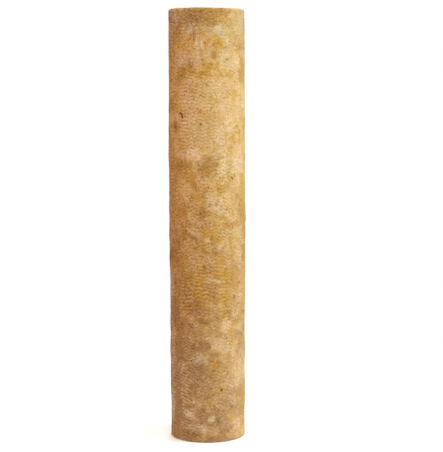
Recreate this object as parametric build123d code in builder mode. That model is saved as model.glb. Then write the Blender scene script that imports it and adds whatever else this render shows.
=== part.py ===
from build123d import *
import os

# One section of wound mineral wool pipe insulation, standing on its end.
# It is a thick-walled wool tube, made and cured as one piece. A slit runs the
# whole length through one wall so that the section can be opened and closed
# round a pipe, and a kerf cut part-way into the opposite wall from the bore
# lets the uncut wool behind it act as the fold.
#
# Frame: millimetres, origin at the centre of the bottom end face, +Z up the
# section's axis, +Y towards the slit, so the plain side faces -Y.

# Driving dimensions
LENGTH = 1000.0         # standard section length
WALL = 50.0             # wool thickness
PIPE_D = 76.0           # pipe that the section is made for, and so its bore
OUTER_D = PIPE_D + 2 * WALL
SLIT_W = 2.0            # gap left by the blade through the slit wall
KERF_W = 2.0            # gap left by the blade in the fold wall
KERF_DEPTH = 32.0       # how far the kerf goes into the fold wall from the bore
RIM_R = 3.0             # soft outer edge of each cut end
BORE_RIM_R = 1.5        # soft bore edge of each cut end

OUTER_R = OUTER_D / 2
BORE_R = PIPE_D / 2

# The cuts start inside the bore, so that they leave no sliver on its wall.
CUT_START = BORE_R / 2
SLIT_END = OUTER_R + 10.0
KERF_END = BORE_R + KERF_DEPTH

with BuildPart() as wool_section:
    # Cross-section: a ring, slit through at +Y and kerfed from the bore at -Y.
    with BuildSketch(Plane.XY) as section_profile:
        Circle(OUTER_R)
        Circle(BORE_R, mode=Mode.SUBTRACT)
        with Locations((0, (CUT_START + SLIT_END) / 2)):
            Rectangle(SLIT_W, SLIT_END - CUT_START, mode=Mode.SUBTRACT)
        with Locations((0, -(CUT_START + KERF_END) / 2)):
            Rectangle(KERF_W, KERF_END - CUT_START, mode=Mode.SUBTRACT)
    extrude(amount=LENGTH)

    # The arcs that lie in the two end planes, chosen by their radius.
    end_arcs = wool_section.edges().filter_by(GeomType.CIRCLE)
    outer_arcs = end_arcs.filter_by(lambda e: abs(e.radius - OUTER_R) < 0.01)
    bore_arcs = end_arcs.filter_by(lambda e: abs(e.radius - BORE_R) < 0.01)
    fillet(outer_arcs, radius=RIM_R)
    fillet(bore_arcs, radius=BORE_RIM_R)

wool_section.part.label = "wool_section"

print("outer diameter", OUTER_D, "bore", PIPE_D, "length", LENGTH)
print("volume litres", round(wool_section.part.volume / 1e6, 3))

os.makedirs("parts", exist_ok=True)
export_step(wool_section.part, "parts/wool_section.step")
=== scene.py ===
import math

import bpy
import numpy as np
from mathutils import Matrix, Vector


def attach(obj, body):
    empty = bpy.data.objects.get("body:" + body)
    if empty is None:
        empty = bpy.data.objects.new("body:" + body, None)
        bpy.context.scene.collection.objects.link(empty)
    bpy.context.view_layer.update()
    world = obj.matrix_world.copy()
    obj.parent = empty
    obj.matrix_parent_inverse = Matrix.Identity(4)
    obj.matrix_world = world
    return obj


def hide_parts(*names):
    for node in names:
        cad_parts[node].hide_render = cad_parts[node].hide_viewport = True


# Metres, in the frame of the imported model: origin at the centre of the bottom
# end, +Z up the axis, the slit at +Y and the plain side towards -Y.

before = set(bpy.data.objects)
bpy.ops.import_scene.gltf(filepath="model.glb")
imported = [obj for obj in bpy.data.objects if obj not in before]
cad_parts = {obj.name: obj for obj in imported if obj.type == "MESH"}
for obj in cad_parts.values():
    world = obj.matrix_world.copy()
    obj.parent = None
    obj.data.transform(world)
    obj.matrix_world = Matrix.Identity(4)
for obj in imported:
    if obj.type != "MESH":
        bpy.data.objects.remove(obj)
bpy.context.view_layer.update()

LENGTH = 1.0
R_OUT = 0.088
R_BORE = 0.038
SLIT_HALF = 0.001
KERF_HALF = 0.001
KERF_TIP = 0.070        # radius that the fold kerf reaches
RIM = 0.003             # soft outer edge of each end
BORE_RIM = 0.0015

PITCH = 0.008           # one rib to the next, up the section
RIB_DEPTH = 0.00096
# Each rib runs in waves of two lengths, long and short: number round the
# section, height in metres, and how far the waves wander, in radians.
LONG_WAVES = (19, 0.0017, 1.9)
SHORT_WAVES = (31, 0.0020, 1.5)
SLANT = 0.11            # fall of the ribs from left to right in the lower half


# ---------------------------------------------------------------- noise

def _lattice(ix, iy, iz, seed):
    """A repeatable number from -1 to 1 for each lattice point."""
    h = (ix * 374761393 + iy * 668265263 + iz * 1440662683 + seed * 1274126177) & 0xFFFFFFFF
    h = ((h ^ (h >> 13)) * 1103515245) & 0xFFFFFFFF
    h = ((h ^ (h >> 16)) * 2246822519) & 0xFFFFFFFF
    h = h ^ (h >> 15)
    return h.astype(np.float64) / 2147483647.5 - 1.0


def noise(p, size, seed, octaves=1, keep=0.5):
    """Smooth noise from about -1 to 1 at points p, with features about size metres apart."""
    total = np.zeros(len(p))
    amp, norm = 1.0, 0.0
    for o in range(octaves):
        q = p / size
        base = np.floor(q).astype(np.int64)
        f = q - base
        w = f * f * f * (f * (f * 6 - 15) + 10)
        acc = np.zeros(len(p))
        for dx in (0, 1):
            for dy in (0, 1):
                for dz in (0, 1):
                    v = _lattice(base[:, 0] + dx, base[:, 1] + dy, base[:, 2] + dz, seed + 31 * o)
                    k = (w[:, 0] if dx else 1 - w[:, 0]) * (w[:, 1] if dy else 1 - w[:, 1]) * (w[:, 2] if dz else 1 - w[:, 2])
                    acc += v * k
        total += amp * acc
        norm += amp
        amp *= keep
        size *= 0.5
    return total / norm * 1.4


def smooth(a, b, x):
    t = np.clip((x - a) / (b - a), 0, 1)
    return t * t * (3 - 2 * t)


def on_cylinder(s, z, r=R_OUT):
    """Points at angle s from the slit, clockwise seen from above, and height z."""
    return np.stack([r * np.sin(s), r * np.cos(s), z], -1)


# ------------------------------------------------- the ribs round the outside

# Where the ribs were dragged aslant: arc from the middle of the plain side,
# height, half width, half height, fall from left to right.
RAMPS = [
    (-40, 115, 20, 46, 0.55), (-34, 190, 16, 30, 0.35), (30, 118, 20, 34, 0.30), (62, 150, 18, 50, 0.25),
    (-20, 372, 18, 30, 0.30), (14, 372, 14, 40, 0.35), (-16, 500, 14, 40, 0.35), (-54, 845, 7, 60, -0.45),
    (-40, 860, 9, 60, 0.40), (36, 860, 10, 40, -0.35), (30, 760, 14, 30, -0.30), (-56, 500, 9, 40, -0.35),
    (58, 700, 16, 40, -0.30), (-2, 700, 16, 34, 0.25), (-60, 300, 12, 40, -0.30), (56, 430, 18, 30, 0.30),
]


def dragged(seed, count):
    """Ramps of the same kind for the rest of the way round."""
    rng = np.random.RandomState(seed)
    rows = []
    for _ in range(count):
        side = rng.choice((-1, 1))
        rows.append((side * rng.uniform(100, 240), rng.uniform(40, 960), rng.uniform(8, 20), rng.uniform(28, 60),
                     rng.choice((-1, 1)) * rng.uniform(0.2, 0.55)))
    return rows


ALL_RAMPS = RAMPS + dragged(18, 34)


def wave(s, z, count, wander, seed):
    p = on_cylinder(s, z) * np.array([0.7, 0.7, 1.0])
    psi = count * s + wander * noise(p, 0.080, seed, 2) + 0.6 * seed
    return np.arcsin(0.86 * np.sin(psi)) / math.asin(0.86)


def row_shift(s, z):
    """How far a rib stands above its even height, in metres."""
    p = on_cylinder(s, z)
    k = np.clip(0.5 + 0.75 * noise(p, 0.050, 6), 0.0, 1.0)
    shift = LONG_WAVES[1] * (0.4 + k) * wave(s, z, LONG_WAVES[0], LONG_WAVES[2], 5)
    shift += SHORT_WAVES[1] * (1.55 - 1.1 * k) * wave(s, z, SHORT_WAVES[0], SHORT_WAVES[2], 9)
    shift += 0.0034 * noise(p, 0.075, 7, 2) + 0.0012 * noise(p, 0.022, 8)
    arc = (math.pi - s) * R_OUT
    shift -= SLANT * 0.080 * np.tanh(arc / 0.080) * smooth(0.66, 0.36, z)
    for a, h, w, t, fall in ALL_RAMPS:
        u, v = (arc * 1000 - a) / w, (z * 1000 - h) / t
        shift -= 0.001 * fall * w * u * np.exp(-0.5 * (u * u + v * v))
    return shift


def row_at(s, z):
    """Rib number at a point: whole in a groove, and half way between on the top of a rib."""
    return (z - row_shift(s, z)) / PITCH


def rib_height(row):
    """0 in the groove and 1 on the rib, narrow grooves between broad ribs."""
    t = np.abs(np.mod(row, 1.0) - 0.5) * 2
    return 1 - t ** 3.2


# Patches seen on the plain side: arc from the middle of that side, height up
# the section, half width, half height, turn in degrees, strength.
DARK = [
    (-8, 984, 48, 15, 4, 0.75), (12, 965, 16, 8, -20, 0.45), (-67, 957, 10, 24, 8, 0.50),
    (-27, 935, 3, 15, 4, 0.80), (-40, 872, 11, 13, 0, 0.32), (92, 912, 24, 9, -12, 0.40),
    (-66, 850, 18, 11, 0, 0.75), (-22, 855, 15, 6, -12, 0.40), (17, 894, 6, 7, 0, 0.55),
    (3, 862, 8, 8, 0, 0.32), (5, 645, 17, 20, -18, 0.82), (-60, 641, 27, 11, 8, 0.60), (-82, 636, 8, 8, 0, 0.45),
    (-15, 537, 22, 13, -14, 0.46), (-27, 592, 5, 9, 25, 0.60), (-55, 480, 11, 15, 20, 0.62),
    (-32, 478, 16, 4, -36, 0.62), (18, 440, 9, 7, 0, 0.35), (-42, 318, 28, 28, 0, 0.42),
    (-64, 380, 12, 26, 6, 0.34), (6, 398, 14, 15, 20, 0.15), (-9, 283, 13, 6, 0, 0.65),
    (-8, 226, 15, 10, -8, 0.80), (-31, 229, 7, 3, 10, 0.75), (-32, 145, 32, 42, 14, 0.52),
    (-62, 60, 10, 8, 0, 0.35), (-17, 68, 9, 12, 0, 0.60), (25, 52, 12, 20, 8, 0.70),
    (25, 47, 3.5, 8, -14, 0.65), (-60, 49, 19, 9, -8, 0.60), (13, 150, 9, 18, 10, 0.45),
    (70, 340, 4, 4, 0, 0.80), (87, 369, 4, 2.2, 0, 0.80), (-75, 250, 18, 30, 0, 0.40),
    (-45, 20, 30, 10, 0, 0.40), (-92, 36, 4, 3, 0, 0.80), (37, 28, 26, 12, 0, 0.38),
    (60, 460, 8, 14, 0, 0.30), (88, 560, 7, 10, 0, 0.30), (-82, 724, 13, 20, 14, 0.60),
    (40, 545, 9, 6, 0, 0.35), (-45, 505, 16, 6, -10, 0.45), (28, 915, 8, 10, 30, 0.50),
    (-86, 800, 10, 18, 0, 0.35), (82, 905, 10, 6, 0, 0.30), (34, 186, 15, 9, -30, 0.35),
    (2, 112, 28, 10, 8, 0.40), (52, 200, 9, 12, 0, 0.35), (40, 890, 22, 14, 0, 0.30),
    (-68, 836, 16, 16, 0, 0.35), (20, 474, 14, 14, 0, 0.30), (26, 296, 12, 10, 0, 0.35),
    (14, 209, 14, 9, 0, 0.48), (74, 712, 14, 28, 0, 0.32), (48, 902, 12, 8, 0, 0.35), (72, 900, 12, 10, 0, 0.30), (20, 66, 22, 14, 0, 0.60), (25, 52, 21, 18, 0, 0.62), (24, 4, 20, 9, 0, 0.95), (22, 48, 9, 16, 0, 0.30),
    # The last seven entries run down the left edge of the plain side: painted shade, strongest low down.
    (-82, 110, 14, 90, 0, 0.72), (-84, 320, 12, 70, 0, 0.64),
    (-80, 215, 13, 28, 0, 1.05), (-80, 75, 11, 26, 0, 1.15), (-82, 290, 11, 14, 0, 0.90), (-82, 612, 12, 16, 0, 0.50), (-82, 932, 12, 12, 0, 0.45),
]
OCHRE = [
    (-12, 978, 46, 14, 2, 0.40), (48, 974, 14, 10, 0, 0.35), (27, 915, 10, 13, 20, 0.85),
    (17, 895, 8, 8, 0, 0.95), (3, 865, 9, 10, 0, 0.80), (-22, 856, 16, 8, -12, 0.90),
    (32, 864, 6, 12, 4, 0.85), (8, 780, 25, 14, 6, 0.50), (89, 796, 4, 3, 0, 1.0),
    (67, 800, 6, 10, 0, 0.75), (52, 851, 5, 4, 0, 0.85), (-4, 905, 9, 22, 12, 0.40),
    (60, 699, 15, 14, 20, 0.50), (90, 702, 4, 12, 0, 0.80), (-40, 612, 11, 9, -10, 0.95),
    (-27, 594, 6, 11, 25, 0.85), (20, 636, 7, 16, 20, 0.80), (30, 577, 8, 9, 0, 0.80),
    (24, 600, 8, 12, 14, 0.65), (-55, 552, 12, 8, 0, 0.70), (12, 530, 7, 12, 26, 0.75),
    (77, 567, 5, 15, 0, 0.70), (46, 524, 6, 9, 0, 0.60), (-5, 484, 30, 17, 0, 0.70),
    (28, 478, 14, 12, 0, 0.70), (-25, 388, 12, 24, 0, 1.50), (32, 419, 7, 8, 20, 0.95),
    (41, 397, 17, 12, 0, 0.80), (45, 337, 9, 8, 0, 0.90), (-15, 348, 11, 9, 10, 0.80),
    (-9, 285, 15, 8, 0, 0.65), (-55, 420, 9, 12, 0, 0.35), (60, 300, 30, 7, 4, 0.45),
    (22, 180, 12, 27, 8, 0.70), (60, 174, 11, 10, 0, 0.60), (87, 86, 14, 10, 0, 0.60),
    (-17, 70, 9, 14, 0, 0.60), (14, 120, 14, 9, 10, 0.55), (34, 128, 8, 7, 0, 0.60),
    (-18, 103, 24, 6, 0, 0.55), (72, 32, 16, 12, 0, 0.15), (0, 10, 30, 7, 0, 0.30),
    (-60, 622, 20, 8, 10, 0.50), (82, 225, 16, 9, -10, 0.45), (-34, 252, 16, 7, 0, 0.50),
    (10, 730, 24, 10, 0, 0.10), (-50, 100, 16, 8, -12, 0.45), (96, 845, 10, 12, 0, 0.35),
    (-50, 702, 22, 6, -6, 0.35), (5, 448, 30, 10, -8, 0.25), (62, 62, 12, 12, 0, 0.30),
    (-84, 770, 14, 22, 0, 0.50), (-90, 560, 12, 60, 0, 0.40), (-96, 880, 10, 40, 0, 0.35),
    (-35, 572, 26, 14, 0, 0.50), (-10, 592, 22, 14, 0, 0.40),
]
PALE = [
    (-95, 990, 18, 8, 0, 0.70), (-22, 914, 5, 24, 6, 0.45), (-8, 914, 4, 18, 10, 0.50),
    (45, 928, 13, 9, 0, 0.36), (28, 951, 12, 6, -25, 0.70), (-46, 952, 15, 13, 0, 0.50),
    (38, 872, 3, 11, 4, 0.90), (45, 888, 20, 13, 0, 0.20), (76, 880, 14, 16, -20, 0.45),
    (-54, 880, 16, 14, 0, 0.80), (-16, 862, 7, 5, 0, 0.60), (26, 836, 24, 9, 0, 0.50),
    (-30, 830, 26, 9, 0, 0.35), (56, 762, 30, 18, 0, 0.40), (85, 815, 20, 14, 0, 0.32),
    (-62, 785, 22, 20, 0, 0.30), (-34, 744, 20, 50, 0, 0.92), (27, 712, 12, 24, 0, 0.75), (-12, 735, 14, 40, 0, 0.60), (-5, 740, 5, 5, 0, 0.75),
    (-30, 672, 22, 17, -8, 1.30), (-62, 668, 12, 8, 0, 0.45), (20, 727, 8, 14, 0, 0.50),
    (36, 655, 15, 28, -6, 1.00), (40, 690, 12, 10, 0, 0.55), (90, 655, 22, 26, 0, 0.75),
    (62, 640, 12, 14, 0, 0.45), (-53, 583, 17, 13, 0, 0.40), (8, 575, 9, 20, 0, 0.75),
    (-12, 618, 8, 18, 0, 0.40), (33, 546, 12, 14, 0, 0.65), (48, 566, 12, 14, 0, 0.55),
    (66, 520, 8, 6, 0, 0.60), (-38, 520, 16, 8, 0, 0.40), (-36, 494, 9, 7, 0, 0.60),
    (3, 472, 5, 6, 0, 0.85), (-14, 482, 5, 5, 0, 0.70), (29, 458, 8, 6, 0, 0.50),
    (-32, 427, 9, 6, 0, 0.65), (-44, 458, 12, 10, 0, 0.55), (-2, 452, 18, 7, 0, 0.40),
    (28, 375, 7, 5, 0, 0.55), (8, 380, 10, 8, 20, 0.50), (88, 440, 14, 30, 0, 0.55),
    (80, 490, 18, 14, 0, 0.50), (32, 322, 7, 4, 0, 0.60), (45, 272, 13, 18, 0, 0.48),
    (80, 265, 22, 18, 0, 0.50), (30, 233, 24, 13, -6, 0.85), (64, 215, 12, 18, 0, 0.45),
    (90, 162, 24, 26, -8, 0.78), (74, 130, 12, 14, 0, 0.45), (-20, 195, 16, 12, 0, 0.45),
    (-60, 165, 14, 12, 0, 0.35), (11, 58, 5, 6, 0, 0.85), (-48, 66, 14, 10, -20, 0.80),
    (-22, 92, 14, 8, -10, 0.45), (-6, 30, 11, 10, 0, 0.70), (-30, 34, 18, 8, 0, 0.40),
    (62, 100, 18, 10, 0, 0.35), (84, 40, 10, 14, 0, 0.50), (-20, 231, 4, 4, 0, 0.60),
    (34, 106, 12, 8, 0, 0.35), (96, 745, 14, 20, 0, 0.35), (95, 330, 12, 30, 0, 0.35),
    (0, 775, 40, 24, 0, 0.38), (4, 715, 46, 40, 0, 0.42), (-26, 522, 24, 14, 0, 0.66),
    (-30, 474, 14, 18, 0, 0.66), (-12, 427, 17, 14, 0, 0.80), (72, 298, 14, 11, 0, 0.55), (74, 238, 12, 10, 0, 0.45),
    (-34, 156, 30, 9, 0, 0.60), (-30, 292, 14, 16, 0, 0.50), (38, 238, 44, 10, 0, 0.45), (-78, 984, 16, 12, 0, 1.00),
]
# Where the wool is yellower than elsewhere, and where it is creamier.
YELLOWER = [(-34, 630, 52, 130, 0, 0.44), (-82, 700, 16, 170, 0, 0.30), (-84, 400, 14, 90, 0, 0.25)]
CREAMIER = [(56, 740, 32, 110, 0, 0.48), (84, 900, 20, 90, 0, 0.30), (0, 930, 60, 40, 0, 0.15)]
# Where the ribs stand out most, and where they are pressed flat.
RIBBED = [
    (-52, 800, 36, 60, 0, 0.9), (-45, 715, 40, 34, 0, 0.8), (-40, 130, 50, 80, 0, 1.0),
    (60, 90, 50, 60, 0, 0.7), (70, 360, 40, 80, 0, 0.6), (10, 810, 50, 30, 0, 0.5),
    (-20, 590, 60, 34, 0, 0.5), (-60, 520, 30, 50, 0, 0.4), (10, 350, 36, 56, 0, 0.20),
    (70, 640, 34, 60, 0, 0.3), (-60, 900, 22, 40, 0, 0.5),
]
FLAT = [
    (5, 915, 44, 34, 0, 0.6), (5, 500, 36, 34, 0, 0.7),
    (10, 215, 34, 30, 0, 0.6), (-20, 425, 20, 18, 0, 0.5), (-75, 300, 20, 60, 0, 0.3),
    (10, 660, 18, 20, 0, 0.15), (0, 30, 40, 22, 0, 0.4), (45, 190, 20, 30, 0, 0.4), (48, 470, 28, 50, 0, 0.7),
]
# Small dents and dark flecks: arc, height, half width, half height, turn, depth in mm.
DENTS = [
    (-62, 760, 5.5, 2.2, -28, 2.2), (-57, 754, 3.2, 2.4, -40, 2.6), (-82, 724, 2.6, 3.6, 14, 2.2),
    (-85, 715, 2.0, 4.0, 14, 1.2), (-13, 737, 2.6, 2.4, 30, 2.2), (63, 617, 3.8, 1.5, -38, 2.0),
    (71, 621, 2.6, 1.7, 40, 1.4), (52, 612, 3.2, 1.6, -14, 1.5), (23, 600, 1.9, 1.7, 0, 1.6),
    (33, 123, 5.0, 1.9, 38, 2.3), (13, 173, 2.6, 1.8, 0, 2.0), (25, 47, 2.2, 5.0, -16, 1.8),
    (-10, 506, 3.0, 1.7, -30, 1.8), (-24, 464, 12, 1.3, -26, 0.9), (50, 242, 3.2, 1.6, 20, 1.6), (100, 247, 4.6, 1.6, -18, 2.0),
    (23, 370, 2.2, 1.8, 0, 2.0), (-30, 223, 6.0, 1.8, 8, 1.9), (88, 369, 2.6, 1.5, 0, 1.6),
    (70, 340, 2.4, 2.4, 0, 1.8), (-17, 307, 2.2, 1.9, 0, 1.7), (-92, 36, 3.2, 2.0, 0, 2.0),
    (17, 894, 3.0, 3.0, 0, 0.6), (-30, 929, 2.0, 8.0, 5, 1.4), (-29, 905, 1.6, 8.0, -4, 1.0),
    (45, 957, 2.6, 2.0, 0, 0.7), (28, 922, 2.4, 2.2, 0, 0.7), (19, 440, 2.0, 1.6, 0, 1.6),
    (36, 462, 1.9, 1.6, 0, 1.2), (-49, 384, 6.0, 1.2, -20, 1.2), (66, 92, 3.0, 1.7, 0, 1.2),
    (-10, 78, 2.4, 1.9, 0, 1.5), (4, 555, 2.2, 1.5, 0, 1.5), (-55, 350, 2.4, 1.6, 0, 1.1),
]
# Tufts of pulled-up wool: arc, height, half width, half height, turn, rise in mm.
TUFTS = [
    (-24, 916, 3.6, 20, 6, 1.0), (-9, 912, 3.4, 15, 10, 1.1), (11, 58, 6, 7, 0, 1.8),
    (3, 472, 5, 6, 0, 1.1), (-32, 427, 8, 5, 0, 0.6), (45, 272, 12, 16, 0, 0.8),
    (38, 872, 3, 10, 4, 0.7), (-8, 737, 4, 3, 0, 1.2), (28, 375, 7, 5, 0, 0.6),
    (-20, 231, 4, 3, 0, 1.2), (-48, 66, 12, 8, -20, 0.8), (-6, 30, 10, 9, 0, 0.9),
    (-30, 672, 20, 14, -8, 0.6), (28, 952, 12, 3, -25, 0.8),
]


def patches(s, z, rows, power=1.6, add=False):
    """The strongest of these soft patches at each point, or their sum."""
    p = on_cylinder(s, z)
    arc = (math.pi - s) * R_OUT * 1000 + 6.0 * noise(p, 0.034, 91, 3, 0.65)
    mm = z * 1000 + 6.0 * noise(p, 0.034, 92, 3, 0.65)
    out = np.zeros(len(s))
    for a, h, w, t, turn, strength in rows:
        c, q = math.cos(math.radians(turn)), math.sin(math.radians(turn))
        dx, dz = arc - a, mm - h
        u, v = (dx * c + dz * q) / w, (-dx * q + dz * c) / t
        d = 1 / (1 + 0.55 * (u * u + v * v) ** power)
        out = out + strength * d if add else np.maximum(out, strength * d)
    return out


def rest_of_section(seed, count, size, strength, stretch=1.0):
    """Patches of the same kind for the rest of the way round."""
    rng = np.random.RandomState(seed)
    rows = []
    for _ in range(count):
        side = rng.choice((-1, 1))
        a = side * rng.uniform(104, 276)
        w = rng.uniform(*size)
        t = w * rng.uniform(0.45, 1.25) * stretch
        rows.append((a, rng.uniform(5, 995), w, t, rng.uniform(-35, 35), rng.uniform(*strength)))
    return rows


def around(rows):
    """The same patches, with those near the slit repeated on its other side."""
    turn = 2 * math.pi * R_OUT * 1000
    return rows + [(a + turn, h, w, t, k, g) for a, h, w, t, k, g in rows if a < -200] + \
        [(a - turn, h, w, t, k, g) for a, h, w, t, k, g in rows if a > 200]


ALL_DARK = DARK + around(rest_of_section(11, 62, (6, 28), (0.30, 0.80)))
ALL_OCHRE = OCHRE + around(rest_of_section(12, 78, (5, 25), (0.35, 0.88)))
ALL_PALE = PALE + around(rest_of_section(13, 84, (5, 26), (0.35, 0.88)))
ALL_YELLOWER = YELLOWER + around(rest_of_section(19, 12, (20, 50), (0.2, 0.4), 1.8))
ALL_CREAMIER = CREAMIER + around(rest_of_section(20, 12, (20, 50), (0.2, 0.4), 1.8))
ALL_RIBBED = RIBBED + around(rest_of_section(14, 26, (24, 60), (0.4, 1.0), 1.3))
ALL_FLAT = FLAT + around(rest_of_section(15, 22, (16, 44), (0.4, 0.9)))
ALL_DENTS = DENTS + around([(a, h, w / 6, t / 6, k, g) for a, h, w, t, k, g in rest_of_section(16, 48, (10, 30), (1.0, 2.6))])
ALL_TUFTS = TUFTS + around([(a, h, w / 2.5, t / 2.5, k, g) for a, h, w, t, k, g in rest_of_section(17, 22, (8, 30), (0.7, 1.7))])


def rib_strength(s, z):
    p = on_cylinder(s, z)
    k = 0.70 + 0.30 * noise(p, 0.040, 21, 3) + 0.30 * patches(s, z, ALL_RIBBED) - 0.35 * patches(s, z, ALL_FLAT)
    near_end = smooth(0.0, 0.010, np.minimum(z, LENGTH - z))
    upper = 1.12 - 0.42 * smooth(0.44, 0.62, z)
    return np.clip(k, 0.25, 1.20) * (0.35 + 0.65 * near_end) * upper


def relief_and_painted_shade_gain(s, z):
    """How strongly the fibres and ribs stand out, in their bump and in the painted shade of their grooves and grain:
    most on the left of the plain side and at its top.
    """
    arc = (math.pi - s) * R_OUT
    near = 1 - smooth(0.11, 0.20, np.abs(arc))
    k = 1 + (0.13 - 0.58 * np.tanh(arc / 0.082)) * near
    k *= 1 + 0.50 * smooth(0.950, 0.972, z) * smooth(0.055, 0.020, arc)
    k *= 1.04 - 0.25 * np.exp(-((z - 0.76) / 0.14) ** 2)
    return k + 0.10 * noise(on_cylinder(s, z), 0.030, 62, 2)


def outer_offset(s, z):
    """How far the wool stands off the even cylinder, in metres."""
    p = on_cylinder(s, z)
    t = z / LENGTH
    body = 0.0010 * np.exp(-((t - 0.60) / 0.24) ** 2) - 0.0011 * smooth(0.30, 0.0, t) - 0.0003 * smooth(0.85, 1.0, t)
    lumps = 0.00075 * noise(p, 0.085, 31, 2) + 0.00045 * noise(p, 0.030, 32, 2) + 0.00018 * noise(p, 0.009, 33, 1)
    ribs = RIB_DEPTH * rib_strength(s, z) * (rib_height(row_at(s, z)) - 0.75)
    dents = -0.001 * 0.55 * patches(s, z, ALL_DENTS)
    tufts = 0.001 * 0.55 * patches(s, z, ALL_TUFTS)
    return body + lumps + ribs + dents + tufts


# ------------------------------------------------------------ the wool mesh

class Mesh:
    """Points with their shading values, and triangles between them."""

    NAMES = ("rib_row", "rib_gain", "relief_and_painted_shade", "dark", "ochre", "pale", "tint", "dent", "tuft", "end", "bore", "cut")

    def __init__(self):
        self.points, self.values, self.tris, self.count = [], {n: [] for n in self.NAMES}, [], 0

    def add(self, xyz, **values):
        xyz = np.asarray(xyz, float).reshape(-1, 3)
        ids = np.arange(self.count, self.count + len(xyz))
        self.points.append(xyz)
        for n in self.NAMES:
            value = values.get(n, 1.0 if n == "relief_and_painted_shade" else 0.0)
            self.values[n].append(np.broadcast_to(np.asarray(value, float), (len(xyz),)).copy())
        self.count += len(xyz)
        return ids

    def grid(self, ids, flip=False):
        """Two triangles for each cell of a grid of ids, split one way and the other by turns."""
        a, b, c, d = ids[:-1, :-1], ids[:-1, 1:], ids[1:, 1:], ids[1:, :-1]
        odd = (np.add.outer(np.arange(a.shape[0]), np.arange(a.shape[1])) % 2).astype(bool)
        t1 = np.where(odd[..., None], np.stack([a, b, c], -1), np.stack([a, b, d], -1))
        t2 = np.where(odd[..., None], np.stack([a, c, d], -1), np.stack([b, c, d], -1))
        t = np.concatenate([t1.reshape(-1, 3), t2.reshape(-1, 3)])
        self.tris.append(t[:, ::-1] if flip else t)

    def stitch(self, left, right, at_left, at_right, flip=False):
        """Triangles between two lines of ids, advancing whichever lags behind."""
        i = j = 0
        out = []
        while i < len(left) - 1 or j < len(right) - 1:
            if j == len(right) - 1 or (i < len(left) - 1 and at_left[i + 1] <= at_right[j + 1]):
                t = (left[i], left[i + 1], right[j])
                i += 1
            else:
                t = (left[i], right[j + 1], right[j])
                j += 1
            if len(set(t)) == 3:
                out.append(t)
        t = np.array(out)
        self.tris.append(t[:, ::-1] if flip else t)

    def halve(self, fine, coarse, flip=False):
        """Triangles between a line and one with every second of its points."""
        out = []
        for k in range(len(coarse) - 1):
            f0, f1, f2 = fine[2 * k], fine[2 * k + 1], fine[2 * k + 2]
            c0, c1 = coarse[k], coarse[k + 1]
            out += [(f0, f1, c0), (f1, c1, c0), (f1, f2, c1)]
        t = np.array(out)
        self.tris.append(t[:, ::-1] if flip else t)

    def build(self, name):
        co = np.concatenate(self.points).astype(np.float32)
        tri = np.concatenate(self.tris)[:, ::-1].astype(np.int32)      # faces outwards
        mesh = bpy.data.meshes.new(name)
        mesh.vertices.add(len(co))
        mesh.vertices.foreach_set("co", co.ravel())
        mesh.loops.add(len(tri) * 3)
        mesh.loops.foreach_set("vertex_index", tri.ravel())
        mesh.polygons.add(len(tri))
        mesh.polygons.foreach_set("loop_start", np.arange(0, len(tri) * 3, 3, dtype=np.int32))
        mesh.update(calc_edges=True)
        for n in self.NAMES:
            a = mesh.attributes.new(n, "FLOAT", "POINT")
            a.data.foreach_set("value", np.concatenate(self.values[n]).astype(np.float32))
        mesh.validate(verbose=False)
        return mesh


COLS = 188                       # spans round the outside
MID = COLS // 2                  # the line opposite the slit
m = Mesh()

# Angles round the outside, from one side of the slit to the other.
s_edge = math.asin(SLIT_HALF / R_OUT)
s_cols = np.linspace(s_edge, 2 * math.pi - s_edge, COLS + 1)

# Heights of the rows up the outside: one in each groove and two on each rib,
# which is steep underneath and slopes away more gently above.
N_RIBS = int(round(LENGTH / PITCH))
heights = np.array([(k + o) * PITCH for k in range(N_RIBS) for o in (0.0, 0.16, 0.60)])
heights = heights[(heights > RIM + 0.0008) & (heights < LENGTH - RIM - 0.0008)]


def end_wobble(s, r, top):
    """Unevenness of a sawn end, in metres. The bottom end's lowest points lie on the floor."""
    p = np.stack([r * np.sin(s), r * np.cos(s), np.full_like(s, 3.0 if top else 7.0)], -1)
    w = 0.00045 * noise(p, 0.045, 41, 2) + 0.00030 * noise(p, 0.014, 42, 2)
    if top:
        return w - 0.0006 - 0.0006 * np.sin(s)
    return np.abs(w)


def ring_relief(s, r, top):
    """Layers of wool that show on a cut end: low ridges round the bore, in a slow spiral."""
    p = np.stack([r * np.sin(s), r * np.cos(s), np.full_like(s, 3.0 if top else 7.0)], -1)
    turn = r / 0.0052 + s / (2 * math.pi) + 0.45 * noise(p, 0.030, 43, 2)
    t = np.abs(np.mod(turn, 1.0) - 0.5) * 2
    gain = np.clip(0.6 + 0.6 * noise(p, 0.026, 44, 2), 0.05, 1.2)
    return -0.0009 * gain * smooth(0.60, 1.0, t) + 0.00025 * noise(p, 0.006, 45, 2)


# Outer wall.
S, V = np.meshgrid(s_cols, heights)
s_f, v_f = S.ravel(), V.ravel()
z_f = v_f.copy()
for _ in range(4):
    fade = smooth(0.003, 0.036, np.minimum(v_f, LENGTH - v_f))
    z_f = v_f + fade * row_shift(s_f, z_f)
off = outer_offset(s_f, z_f)
edge = np.minimum(s_f - s_edge, 2 * math.pi - s_edge - s_f) * R_OUT
off -= 0.0011 * np.exp(-edge / 0.0016)
r_f = R_OUT + off


def outer_values(s, z):
    return dict(
        rib_row=row_at(s, z), rib_gain=rib_strength(s, z), relief_and_painted_shade=relief_and_painted_shade_gain(s, z),
        dark=patches(s, z, ALL_DARK), ochre=patches(s, z, ALL_OCHRE), pale=patches(s, z, ALL_PALE),
        tint=patches(s, z, ALL_YELLOWER) - patches(s, z, ALL_CREAMIER),
        dent=patches(s, z, ALL_DENTS), tuft=patches(s, z, ALL_TUFTS),
    )


xyz = np.stack([r_f * np.sin(s_f), r_f * np.cos(s_f), z_f], -1)
outer = m.add(xyz, **outer_values(s_f, z_f)).reshape(S.shape)
r_outer = r_f.reshape(S.shape)
m.grid(outer)


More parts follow.
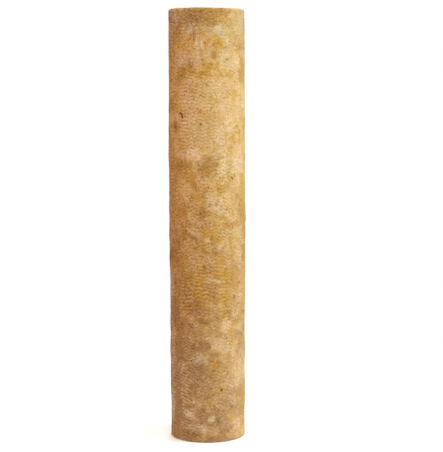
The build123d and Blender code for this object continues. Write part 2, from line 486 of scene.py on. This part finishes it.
# Ends. Each has a soft outer rim, rings of points inwards, and a soft bore rim.
FINE_R = np.linspace(R_OUT - RIM, 0.0610, 17)        # rings with a point for every column
COARSE_R = np.linspace(0.0595, R_BORE + BORE_RIM, 15)  # and with one for every second
KERF_RING = int(np.argmin(np.abs(FINE_R - KERF_TIP)))
HALF_COLS = np.arange(0, COLS + 1, 2)


def column_s(cols, r, split):
    """Angles of these columns at radius r, where the slit and the open kerf keep their width."""
    base = s_cols[cols].copy()
    e = math.asin(SLIT_HALF / r)
    u = (base - s_edge) / (2 * math.pi - 2 * s_edge)
    s = e + u * (2 * math.pi - 2 * e)
    if split:
        open_half = KERF_HALF * smooth(KERF_TIP, KERF_TIP - 0.004, np.array([r]))[0]
        k = math.asin(open_half / r)
        near = np.exp(-np.abs(s - math.pi) / 0.10)
        s = s - split * k * near
    return s


def end_face(top):
    """The rows of ids of one end, for the half before the kerf and the half after it."""
    out = []
    z0 = LENGTH if top else 0.0
    up = 1 if top else -1
    row = outer[-1] if top else outer[0]
    base_r = r_outer[-1] if top else r_outer[0]
    lines = []            # (ids before, ids after, coarse)
    # Soft outer rim: from the last outer row over to the first ring.
    for k, a in enumerate((25, 50, 72)):
        c, q = math.cos(math.radians(a)), math.sin(math.radians(a))
        s = s_cols
        r = (R_OUT - RIM) + (base_r - (R_OUT - RIM)) * c
        z = z0 + end_wobble(s, r, top) - up * RIM * (1 - q)
        r = r + 0.0003 * noise(on_cylinder(s, z), 0.006, 46)
        ids = m.add(np.stack([r * np.sin(s), r * np.cos(s), z], -1), **{**outer_values(s, z), "end": 0.15 + 0.2 * k})
        lines.append((ids[: MID + 1], ids[MID:], False))
    for k, r0 in enumerate(FINE_R):
        halves = []
        shared = k <= KERF_RING
        for side, cols in ((1, np.arange(0, MID + 1)), (-1, np.arange(MID, COLS + 1))):
            s = column_s(cols, r0, 0 if shared else side)
            r = np.full_like(s, r0)
            z = z0 + end_wobble(s, r, top) + up * ring_relief(s, r, top) * (0.4 if k == 0 else 1.0)
            if not top:
                z = np.maximum(z, 0.0)
            halves.append((s, r, z))
        if shared:
            (s1, r1, z1), (s2, r2, z2) = halves
            ids = m.add(np.stack([np.r_[r1 * np.sin(s1), (r2 * np.sin(s2))[1:]], np.r_[r1 * np.cos(s1), (r2 * np.cos(s2))[1:]], np.r_[z1, z2[1:]]], -1), end=1.0)
            lines.append((ids[: MID + 1], ids[MID:], False))
        else:
            pair = [m.add(np.stack([r * np.sin(s), r * np.cos(s), z], -1), end=1.0) for s, r, z in halves]
            lines.append((pair[0], pair[1], False))
    for r0 in COARSE_R:
        pair = []
        for side, cols in ((1, np.arange(0, MID + 1, 2)), (-1, np.arange(MID, COLS + 1, 2))):
            s = column_s(cols, r0, side)
            r = np.full_like(s, r0)
            z = z0 + end_wobble(s, r, top) + up * ring_relief(s, r, top)
            if not top:
                z = np.maximum(z, 0.0)
            pair.append(m.add(np.stack([r * np.sin(s), r * np.cos(s), z], -1), end=1.0))
        lines.append((pair[0], pair[1], True))
    # Soft bore rim.
    for k, a in enumerate((30, 62)):
        c, q = math.cos(math.radians(a)), math.sin(math.radians(a))
        pair = []
        for side, cols in ((1, np.arange(0, MID + 1, 2)), (-1, np.arange(MID, COLS + 1, 2))):
            r0 = R_BORE + BORE_RIM * (1 - q)
            s = column_s(cols, r0, side)
            r = np.full_like(s, r0)
            z = z0 + end_wobble(s, r, top) - up * BORE_RIM * (1 - c)
            if not top:
                z = np.maximum(z, 0.0)
            pair.append(m.add(np.stack([r * np.sin(s), r * np.cos(s), z], -1), end=0.7 - 0.3 * k, bore=0.3 + 0.3 * k))
        lines.append((pair[0], pair[1], True))
    prev = (row[: MID + 1], row[MID:], False)
    for line in lines:
        for h in (0, 1):
            if prev[2] == line[2]:
                m.grid(np.stack([prev[h], line[h]]), flip=not top)
            else:
                m.halve(prev[h], line[h], flip=not top)
        prev = line
    return lines


top_lines = end_face(True)
bottom_lines = end_face(False)

# Bore wall, half before the kerf and half after it.
BORE_ROWS = 84
bore_z = np.linspace(BORE_RIM + 0.004, LENGTH - BORE_RIM - 0.004, BORE_ROWS)
bore_ids = []
for side, cols in ((1, np.arange(0, MID + 1, 2)), (-1, np.arange(MID, COLS + 1, 2))):
    s = column_s(cols, R_BORE, side)
    Sb, Zb = np.meshgrid(s, bore_z)
    sb, zb = Sb.ravel(), Zb.ravel()
    p = on_cylinder(sb, zb, R_BORE)
    r = R_BORE + 0.00035 * noise(p, 0.050, 51, 2) + 0.00025 * noise(p * np.array([1, 1, 0.15]), 0.007, 52)
    near = np.minimum(np.abs(sb - s[0]), np.abs(sb - s[-1])) * R_BORE
    r += 0.0006 * np.exp(-near / 0.0015)
    ids = m.add(np.stack([r * np.sin(sb), r * np.cos(sb), zb], -1), bore=1.0).reshape(Sb.shape)
    bore_ids.append(ids)
for h in (0, 1):
    rows = np.concatenate([bottom_lines[-1][h][None], bore_ids[h], top_lines[-1][h][None]])
    m.grid(rows, flip=True)


def wall(face_lines, outer_line, inner_line, rows, sign, flip, wobble_seed):
    """A cut face from one end to the other.

    face_lines gives, from outside to inside, the (bottom, top) ids that the wall's
    radial lines end on. outer_line and inner_line are the ids along its two long
    edges, bottom to top. A wall without an outer_line starts at the kerf's tip.
    """
    P = np.concatenate(m.points)
    bottom = np.array([b for b, _ in face_lines])
    top = np.array([t for _, t in face_lines])
    grid = [bottom]
    for k in range(1, rows):
        f = k / rows
        a, b = P[bottom], P[top]
        q = a + (b - a) * f
        radius = np.hypot(q[:, 0], q[:, 1])
        w = 0.00028 * noise(q + np.array([0, 0, 9.0]), 0.035, wobble_seed, 2) + 0.00022 * noise(q * np.array([1, 1, 0.5]), 0.006, wobble_seed + 1, 2)
        w -= np.maximum(0, sign * w) * sign * 0.6       # leans into the wool more than into the gap
        q[:, 0] += w * (smooth(KERF_TIP, KERF_TIP - 0.006, radius) if outer_line is None else 1.0)
        grid.append(m.add(q, cut=1.0))
    grid.append(top)
    grid = np.array(grid)
    m.grid(grid, flip=flip)
    P = np.concatenate(m.points)
    if outer_line is not None:
        m.stitch(outer_line, grid[:, 0], P[outer_line, 2], P[grid[:, 0], 2], flip=not flip)
    m.stitch(grid[:, -1], inner_line, P[grid[:, -1], 2], P[inner_line, 2], flip=not flip)
    return grid


RIM_LINES = 3
SLIT_ROWS, KERF_ROWS = 92, 46


def edge_ids(lines, h, at, start, stop):
    return [line[h][at] for line in lines[start:stop]]


n_lines = len(top_lines)
face_from, face_to = RIM_LINES, n_lines - 2        # rings between the two soft rims
# Slit, at the first column and at the last.
for h, at, sign, flip in ((0, 0, 1, True), (1, -1, -1, False)):
    pairs = list(zip(edge_ids(bottom_lines, h, at, face_from, face_to), edge_ids(top_lines, h, at, face_from, face_to)))
    col = 0 if h == 0 else -1
    outer_line = np.array(
        [pairs[0][0]] + edge_ids(bottom_lines, h, at, 0, RIM_LINES)[::-1] + list(outer[:, col])
        + edge_ids(top_lines, h, at, 0, RIM_LINES) + [pairs[0][1]]
    )
    inner_line = np.array(
        [pairs[-1][0]] + edge_ids(bottom_lines, h, at, face_to, n_lines) + list(bore_ids[h][:, at])
        + edge_ids(top_lines, h, at, face_to, n_lines)[::-1] + [pairs[-1][1]]
    )
    wall(pairs, outer_line, inner_line, SLIT_ROWS, sign, flip, 61 + 4 * h)

# Kerf, on both sides of its tip.
kerf_from = RIM_LINES + KERF_RING
tip_pair = (bottom_lines[kerf_from][0][-1], top_lines[kerf_from][0][-1])
P = np.concatenate(m.points)
a, b = P[tip_pair[0]], P[tip_pair[1]]
tip = [tip_pair[0]]
for k in range(1, KERF_ROWS):
    q = a + (b - a) * k / KERF_ROWS
    tip.append(m.add(q[None], cut=1.0)[0])
tip.append(tip_pair[1])
for h, at, sign, flip in ((0, -1, -1, False), (1, 0, 1, True)):
    pairs = list(zip(edge_ids(bottom_lines, h, at, kerf_from + 1, face_to), edge_ids(top_lines, h, at, kerf_from + 1, face_to)))
    inner_line = np.array(
        [pairs[-1][0]] + edge_ids(bottom_lines, h, at, face_to, n_lines) + list(bore_ids[h][:, at])
        + edge_ids(top_lines, h, at, face_to, n_lines)[::-1] + [pairs[-1][1]]
    )
    grid = wall(pairs, None, inner_line, KERF_ROWS, sign, flip, 71 + 4 * h)
    P = np.concatenate(m.points)
    m.stitch(np.array(tip), grid[:, 0], P[np.array(tip), 2], P[grid[:, 0], 2], flip=not flip)

mesh = m.build("wool")
wool = bpy.data.objects.new("wool_section_body", mesh)
bpy.context.scene.collection.objects.link(wool)
mesh.polygons.foreach_set("use_smooth", np.ones(len(mesh.polygons), dtype=bool))

print("wool triangles", len(mesh.polygons), "points", len(mesh.vertices))


# ------------------------------------------------------------------ material

class Nodes:
    """Short ways to add shader nodes."""

    def __init__(self, tree):
        self.tree = tree

    def new(self, kind, **props):
        n = self.tree.nodes.new(kind)
        for k, v in props.items():
            setattr(n, k, v)
        return n

    def put(self, socket, value):
        if isinstance(value, bpy.types.NodeSocket):
            self.tree.links.new(value, socket)
        else:
            socket.default_value = value

    def math(self, op, a, b=None, c=None, clamp=False):
        n = self.new("ShaderNodeMath", operation=op, use_clamp=clamp)
        for i, v in enumerate((a, b, c)):
            if v is not None:
                self.put(n.inputs[i], v)
        return n.outputs[0]

    def vec(self, op, a, b=None, scale=None):
        n = self.new("ShaderNodeVectorMath", operation=op)
        self.put(n.inputs[0], a)
        if b is not None:
            self.put(n.inputs[1], b)
        if scale is not None:
            self.put(n.inputs["Scale"], scale)
        return n.outputs[0]

    def value(self, name):
        return self.new("ShaderNodeAttribute", attribute_type="GEOMETRY", attribute_name=name).outputs["Fac"]

    def noise(self, at, scale, detail=3.0, rough=0.5, colour=False, distortion=0.0):
        n = self.new("ShaderNodeTexNoise", noise_dimensions="3D")
        self.put(n.inputs["Vector"], at)
        n.inputs["Scale"].default_value = scale
        n.inputs["Detail"].default_value = detail
        n.inputs["Roughness"].default_value = rough
        n.inputs["Distortion"].default_value = distortion
        return n.outputs["Color" if colour else "Fac"]

    def step(self, x, low, high, to_low=0.0, to_high=1.0):
        n = self.new("ShaderNodeMapRange", interpolation_type="SMOOTHSTEP")
        self.put(n.inputs["Value"], x)
        n.inputs["From Min"].default_value = low
        n.inputs["From Max"].default_value = high
        n.inputs["To Min"].default_value = to_low
        n.inputs["To Max"].default_value = to_high
        return n.outputs["Result"]

    def mix(self, f, a, b, blend="MIX"):
        n = self.new("ShaderNodeMix", data_type="RGBA", blend_type=blend)
        self.put(n.inputs["Factor"], f)
        self.put(n.inputs["A"], a)
        self.put(n.inputs["B"], b)
        return n.outputs["Result"]


def srgb(r, g, b):
    f = lambda v: v / 255 / 12.92 if v / 255 <= 0.04045 else ((v / 255 + 0.055) / 1.055) ** 2.4
    return (f(r), f(g), f(b), 1.0)


def wool_material():
    mat = bpy.data.materials.new("mineral_wool")
    mat.use_nodes = True
    t = mat.node_tree
    t.nodes.clear()
    n = Nodes(t)
    out = n.new("ShaderNodeOutputMaterial")
    bsdf = n.new("ShaderNodeBsdfPrincipled")
    t.links.new(bsdf.outputs[0], out.inputs["Surface"])
    obj = n.new("ShaderNodeTexCoord").outputs["Object"]

    # Cloudy warp, so that patches have ragged edges.
    warp = n.vec("SUBTRACT", n.noise(obj, 55.0, 3.0, 0.6, colour=True), (0.5, 0.5, 0.5))
    at = n.vec("ADD", obj, n.vec("SCALE", warp, scale=0.020))
    fine_warp = n.vec("SUBTRACT", n.noise(obj, 260.0, 2.0, 0.6, colour=True), (0.5, 0.5, 0.5))
    fine_at = n.vec("ADD", at, n.vec("SCALE", fine_warp, scale=0.004))

    big = n.noise(at, 16.0, 3.0, 0.55)
    mid = n.noise(fine_at, 46.0, 4.0, 0.6)
    small = n.noise(fine_at, 130.0, 4.0, 0.6)
    grain = n.noise(obj, 420.0, 4.0, 0.65)
    speck = n.noise(obj, 900.0, 2.0, 0.6)
    strand_at = n.vec("MULTIPLY", n.vec("ADD", fine_at, (7.1, 3.3, 1.9)), (0.72, 0.72, 1.45))
    clump = n.noise(strand_at, 190.0, 3.0, 0.6, distortion=0.6)

    end, bore, cut, relief_and_painted_shade = n.value("end"), n.value("bore"), n.value("cut"), n.value("relief_and_painted_shade")
    skin = n.math("SUBTRACT", 1.0, n.math("MAXIMUM", n.math("MAXIMUM", end, bore), cut), clamp=True)

    # Amounts of the three tones.
    def tone(name, seed_shift, gain_attr, gain_mid, gain_small, low, high, off=0.0):
        sh = n.vec("ADD", fine_at, (seed_shift, seed_shift * 0.7, -seed_shift))
        a = n.noise(sh, 40.0, 4.0, 0.62)
        b = n.noise(sh, 120.0, 4.0, 0.6)
        v = n.math("MULTIPLY", n.value(name), gain_attr)
        v = n.math("ADD", v, n.math("MULTIPLY", n.math("SUBTRACT", a, 0.5), gain_mid))
        v = n.math("ADD", v, n.math("MULTIPLY", n.math("SUBTRACT", b, 0.5), gain_small))
        v = n.math("ADD", v, off)
        return n.step(v, low, high)

    dark = tone("dark", 1.3, 0.95, 1.3, 1.0, 0.12, 0.62)
    ochre = tone("ochre", 2.7, 0.95, 1.7, 1.2, 0.14, 0.62, 0.03)
    pale = tone("pale", 4.1, 0.95, 1.6, 1.1, 0.12, 0.62, 0.03)

    # The upper half is creamier, the foot greyer, and the wool between them yellower.
    sep = n.new("ShaderNodeSeparateXYZ")
    t.links.new(obj, sep.inputs[0])
    level = n.math("ADD", sep.outputs[2], n.math("MULTIPLY", n.math("SUBTRACT", big, 0.5), 0.45))
    high = n.step(level, 0.40, 0.62)
    foot = n.step(level, 0.32, 0.18)

    def by_height(upper, middle, lower):
        return n.mix(foot, n.mix(high, srgb(*middle), srgb(*upper)), srgb(*lower))

    light_base = by_height((218, 186, 140), (204, 163, 108), (196, 159, 113))
    deep_base = by_height((208, 169, 110), (187, 144, 84), (178, 139, 93))
    base = n.mix(n.step(big, 0.38, 0.62), deep_base, light_base)
    col = n.mix(n.math("MULTIPLY", ochre, 0.80), base, by_height((204, 160, 72), (199, 154, 71), (193, 153, 83)))
    col = n.mix(n.step(n.value("ochre"), 0.85, 1.35, 0.0, 0.55), col, srgb(213, 165, 88))
    col = n.mix(n.math("MULTIPLY", pale, 0.80), col, by_height((224, 196, 159), (219, 185, 143), (213, 184, 148)))
    # The dark patches include the painted shade down the left edge of the plain side.
    col = n.mix(n.math("MULTIPLY", dark, 0.80), col, by_height((183, 138, 74), (165, 121, 64), (159, 121, 82)))
    # Some wool is yellower than the rest, whatever its brightness.
    yellow = n.noise(n.vec("ADD", fine_at, (11.0, 5.0, 2.0)), 36.0, 4.0, 0.6)
    yellow = n.math("MULTIPLY", n.step(yellow, 0.36, 0.64), n.math("MULTIPLY_ADD", foot, -0.35, 1.0))
    yellow = n.math("ADD", yellow, n.value("tint"), clamp=True)
    col = n.mix(yellow, col, (1.0, 0.965, 0.68, 1), blend="MULTIPLY")
    # And some is pinker, in smaller patches, most of it in the upper middle.
    pink = n.step(n.noise(n.vec("ADD", fine_at, (5.0, 13.0, 8.0)), 105.0, 3.0, 0.6), 0.32, 0.68)
    middle = n.math("MULTIPLY", n.step(level, 0.44, 0.58), n.step(level, 0.88, 0.70))
    pink = n.math("MULTIPLY_ADD", middle, 0.24, pink, clamp=True)
    col = n.vec("MULTIPLY", col, n.mix(pink, (0.995, 1.040, 1.08, 1), (1.0, 0.965, 0.94, 1)))

    # Ribs: painted shade, brown, along the grooves and a painted highlight along the tops.
    row = n.math("ADD", n.value("rib_row"), n.math("MULTIPLY", n.math("SUBTRACT", small, 0.5), 1.6))
    row = n.math("ADD", row, n.math("MULTIPLY", n.math("SUBTRACT", mid, 0.5), 0.8))
    row = n.math("ADD", row, n.math("MULTIPLY", n.math("SUBTRACT", grain, 0.5), 0.9))
    ping = n.math("PINGPONG", n.math("SUBTRACT", row, 0.04), 0.5)    # 0 in the groove, 0.5 on top
    gain = n.math("MULTIPLY", n.math("MULTIPLY", n.value("rib_gain"), skin), relief_and_painted_shade)
    gain = n.math("MULTIPLY", gain, n.step(mid, 0.34, 0.64, 0.50, 1.10))
    gain = n.math("MULTIPLY", gain, n.step(clump, 0.38, 0.60, 0.18, 1.30))
    groove = n.math("MULTIPLY", n.step(ping, 0.17, 0.03), gain)
    top = n.math("MULTIPLY", n.step(ping, 0.22, 0.46), gain)
    col = n.mix(n.math("MULTIPLY", groove, 0.45, clamp=True), col, srgb(150, 98, 36))
    col = n.mix(n.math("MULTIPLY", top, 0.06, clamp=True), col, srgb(246, 222, 180))

    # Fine fibre grain.
    light = n.step(grain, 0.30, 0.62, 0.80, 1.065)
    light = n.math("MULTIPLY", light, n.step(speck, 0.30, 0.64, 0.90, 1.045))
    light = n.math("MULTIPLY", light, n.step(small, 0.32, 0.66, 0.935, 1.05))
    light = n.math("MULTIPLY", light, n.step(clump, 0.30, 0.58, 0.60, 1.09))
    light = n.math("MULTIPLY", light, n.step(mid, 0.28, 0.72, 0.90, 1.09))
    # Sparse dark strokes: painted shade in the gaps where fibres have lifted.
    gap_at = n.vec("MULTIPLY", n.vec("ADD", fine_at, (3.7, 8.9, 5.1)), (0.75, 0.75, 1.35))
    light = n.math("MULTIPLY", light, n.step(n.noise(gap_at, 330.0, 2.0, 0.55), 0.30, 0.44, 0.50, 1.035))
    # Painted shade: the grain gets more contrast, and a little more brightness, where the relief is made to stand out
    # most, on the left of the plain side.
    light = n.math("POWER", n.math("MULTIPLY", light, 1.09), n.math("MULTIPLY", relief_and_painted_shade, 1.14))
    light = n.math("SMOOTH_MIN", n.math("MULTIPLY", light, 1.02), 1.06, 0.16)
    light = n.math("MULTIPLY", light, n.math("MULTIPLY_ADD", relief_and_painted_shade, 0.085, 0.920))
    light = n.math("MULTIPLY", light, n.step(n.value("pale"), 0.70, 1.25, 1.0, 1.24))
    # Painted shade: the wool is painted a little darker towards both ends.
    ends_painted_shade = n.math("MULTIPLY", n.step(level, 0.82, 1.00, 1.0, 0.83), n.step(level, 0.16, -0.02, 1.0, 0.87))

    # Cut ends and faces: layers round the bore.
    radius = n.math("SQRT", n.math("ADD", n.math("MULTIPLY", sep.outputs[0], sep.outputs[0]), n.math("MULTIPLY", sep.outputs[1], sep.outputs[1])))
    comb = n.new("ShaderNodeCombineXYZ")
    n.put(comb.inputs[0], n.math("MULTIPLY", radius, 8.0))
    n.put(comb.inputs[1], n.math("MULTIPLY", sep.outputs[2], 0.6))
    n.put(comb.inputs[2], n.math("MULTIPLY", n.math("ARCTAN2", sep.outputs[0], sep.outputs[1]), 0.06))
    layer = n.noise(n.vec("ADD", comb.outputs[0], n.vec("SCALE", warp, scale=0.03)), 36.0, 5.0, 0.65)
    inner = n.math("MAXIMUM", end, cut)
    layer_col = n.mix(n.step(layer, 0.36, 0.64), srgb(150, 108, 54), srgb(226, 190, 134))
    col = n.mix(n.math("MULTIPLY", inner, 0.70), col, layer_col)
    col = n.mix(n.math("MULTIPLY", bore, 0.45), col, srgb(176, 134, 78))

    # Dents and flecks are dark inside: painted shade in the dents, and the flecks' own dark colour; tufts are pale.
    col = n.mix(n.math("MULTIPLY", n.step(n.value("dent"), 0.35, 1.6), 0.85), col, srgb(104, 66, 28))
    col = n.mix(n.math("MULTIPLY", n.step(n.value("tuft"), 0.3, 1.5), 0.45), col, srgb(246, 224, 190))
    # Painted shade and highlight over the grain's own tone: deeper wool is painted darker and warmer, and what stands
    # out paler.
    shade = n.new("ShaderNodeCombineXYZ")
    n.put(shade.inputs[0], n.math("POWER", light, 0.65))
    n.put(shade.inputs[1], light)
    n.put(shade.inputs[2], n.math("POWER", light, 1.70))
    # Painted shade at both ends, a little less warm as well as darker.
    ends_painted_shade_rgb = n.new("ShaderNodeCombineXYZ")
    n.put(ends_painted_shade_rgb.inputs[0], ends_painted_shade)
    n.put(ends_painted_shade_rgb.inputs[1], n.math("POWER", ends_painted_shade, 0.93))
    n.put(ends_painted_shade_rgb.inputs[2], n.math("POWER", ends_painted_shade, 0.78))
    col = n.vec("MULTIPLY", n.vec("MULTIPLY", col, shade.outputs[0]), ends_painted_shade_rgb.outputs[0])
    t.links.new(col, bsdf.inputs["Base Color"])

    rough = n.step(grain, 0.3, 0.7, 0.99, 0.86)
    t.links.new(rough, bsdf.inputs["Roughness"])
    bsdf.inputs["Specular IOR Level"].default_value = 0.22
    bsdf.inputs["Sheen Weight"].default_value = 0.16
    bsdf.inputs["Sheen Roughness"].default_value = 0.55
    bsdf.inputs["Sheen Tint"].default_value = srgb(250, 232, 205)

    # Fibres: short streaks lying mostly round the section, in two leaning sets.
    def fibres(tilt, scale, stretch, shift):
        mp = n.new("ShaderNodeMapping", vector_type="POINT")
        t.links.new(n.vec("ADD", obj, n.vec("SCALE", fine_warp, scale=0.004)), mp.inputs["Vector"])
        mp.inputs["Rotation"].default_value = (tilt, 0.35 * tilt, tilt)
        mp.inputs["Scale"].default_value = stretch
        mp.inputs["Location"].default_value = (shift, shift, shift)
        return n.noise(mp.outputs[0], scale, 3.0, 0.6)

    f1 = fibres(0.30, 520.0, (0.28, 0.28, 1.0), 0.7)
    f2 = fibres(-0.40, 520.0, (0.30, 0.30, 1.0), 3.1)
    f3 = fibres(1.20, 420.0, (1.0, 0.35, 0.35), 5.3)
    hair = n.math("MAXIMUM", n.math("MAXIMUM", f1, f2), f3)
    height = n.math("ADD", n.math("MULTIPLY", hair, 0.0007), n.math("MULTIPLY", grain, 0.0005))
    height = n.math("ADD", height, n.math("MULTIPLY", small, 0.0011))
    height = n.math("ADD", height, n.math("MULTIPLY", groove, -0.0005))
    height = n.math("MULTIPLY", height, relief_and_painted_shade)
    height = n.math("ADD", height, n.math("MULTIPLY", n.math("MULTIPLY", layer, inner), 0.0018))
    bump = n.new("ShaderNodeBump")
    bump.inputs["Strength"].default_value = 1.0
    bump.inputs["Distance"].default_value = 1.0
    t.links.new(height, bump.inputs["Height"])
    t.links.new(bump.outputs[0], bsdf.inputs["Normal"])
    return mat


wool_mat = wool_material()
mesh.materials.append(wool_mat)

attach(wool, "root")
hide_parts("wool_section")


# ------------------------------------------------------------------- stage

def floor_material():
    """Pale floor that thins out into the even white below it further from the object."""
    mat = bpy.data.materials.new("floor")
    mat.use_nodes = True
    t = mat.node_tree
    t.nodes.clear()
    n = Nodes(t)
    out = n.new("ShaderNodeOutputMaterial")
    lit = n.new("ShaderNodeBsdfDiffuse")
    lit.inputs["Color"].default_value = (0.92, 0.93, 0.95, 1)
    clear = n.new("ShaderNodeBsdfTransparent")
    obj = n.new("ShaderNodeTexCoord").outputs["Object"]
    d = n.new("ShaderNodeVectorMath", operation="LENGTH")
    t.links.new(obj, d.inputs[0])
    far = n.step(d.outputs["Value"], 0.12, 1.3)
    mixer = n.new("ShaderNodeMixShader")
    n.put(mixer.inputs[0], far)
    t.links.new(lit.outputs[0], mixer.inputs[1])
    t.links.new(clear.outputs[0], mixer.inputs[2])
    t.links.new(mixer.outputs[0], out.inputs["Surface"])
    return mat


bpy.ops.mesh.primitive_circle_add(vertices=96, radius=1.6, fill_type="TRIFAN", location=(0, 0, -0.0005))
floor = bpy.context.object
floor.name = "floor"
floor.data.materials.append(floor_material())

# Even white surroundings, seen by the camera but casting no light.
bpy.ops.mesh.primitive_uv_sphere_add(segments=48, ring_count=24, radius=29, location=(0, 0, 0))
dome = bpy.context.object
dome.name = "surroundings"
white = bpy.data.materials.new("surroundings")
white.use_nodes = True
white.node_tree.nodes.clear()
_o = white.node_tree.nodes.new("ShaderNodeOutputMaterial")
_e = white.node_tree.nodes.new("ShaderNodeEmission")
_e.inputs["Strength"].default_value = 1.0
white.node_tree.links.new(_e.outputs[0], _o.inputs["Surface"])
dome.data.materials.append(white)
dome.visible_diffuse = False
dome.visible_glossy = False
dome.visible_shadow = False

world = bpy.data.worlds.new("studio")
bpy.context.scene.world = world
world.use_nodes = True
world.node_tree.nodes["Background"].inputs["Color"].default_value = (1.0, 0.80, 0.60, 1)
world.node_tree.nodes["Background"].inputs["Strength"].default_value = 0.06


def area(name, at, towards, size, watts, colour):
    light = bpy.data.lights.new(name, "AREA")
    light.shape = "RECTANGLE"
    light.size, light.size_y = size
    light.energy = watts
    light.color = colour
    o = bpy.data.objects.new(name, light)
    bpy.context.scene.collection.objects.link(o)
    o.location = at
    o.rotation_euler = (Vector(towards) - Vector(at)).to_track_quat("-Z", "Y").to_euler()
    o.visible_camera = False
    return o


area("key", (2.6, -0.6, 1.5), (0, 0, 0.6), (1.4, 1.8), 66, (0.92, 0.98, 1.0))
area("over", (0.3, -0.2, 2.6), (0, 0, 0), (2.2, 2.2), 53, (0.98, 1.0, 0.97))
area("front", (0.05, -1.9, 2.1), (0, 0, 0.7), (1.6, 1.2), 29, (0.97, 1.0, 0.93))
area("left", (-1.75, -0.85, 1.3), (0, 0, 0.5), (1.2, 1.4), 17, (1.0, 0.43, 0.23))
area("back", (0.2, 2.6, 1.5), (0, 0, 0.5), (1.6, 1.6), 70, (1.0, 0.98, 0.95))

view = bpy.context.scene.view_settings
view.view_transform = "Standard"
view.look = "None"
view.exposure = 0.0
view.gamma = 1.0

# ------------------------------------------------------------------ camera

cam_data = bpy.data.cameras.new("camera")
cam_data.sensor_width = 36.0
cam_data.sensor_fit = "AUTO"
cam_data.lens = 1310.0 * 36.0 / 452.0
cam = bpy.data.objects.new("camera", cam_data)
bpy.context.scene.collection.objects.link(cam)
cam.location = (0.0333, -3.0628, 0.8008)
cam.rotation_mode = "XYZ"
tilt, roll = math.radians(5.667), math.radians(-0.146)
cam.rotation_euler = (Matrix.Rotation(math.pi / 2 - tilt, 3, "X") @ Matrix.Rotation(roll, 3, "Z")).to_euler()
cam_data.clip_start, cam_data.clip_end = 0.01, 200
bpy.context.scene.camera = cam

bpy.context.view_layer.update()
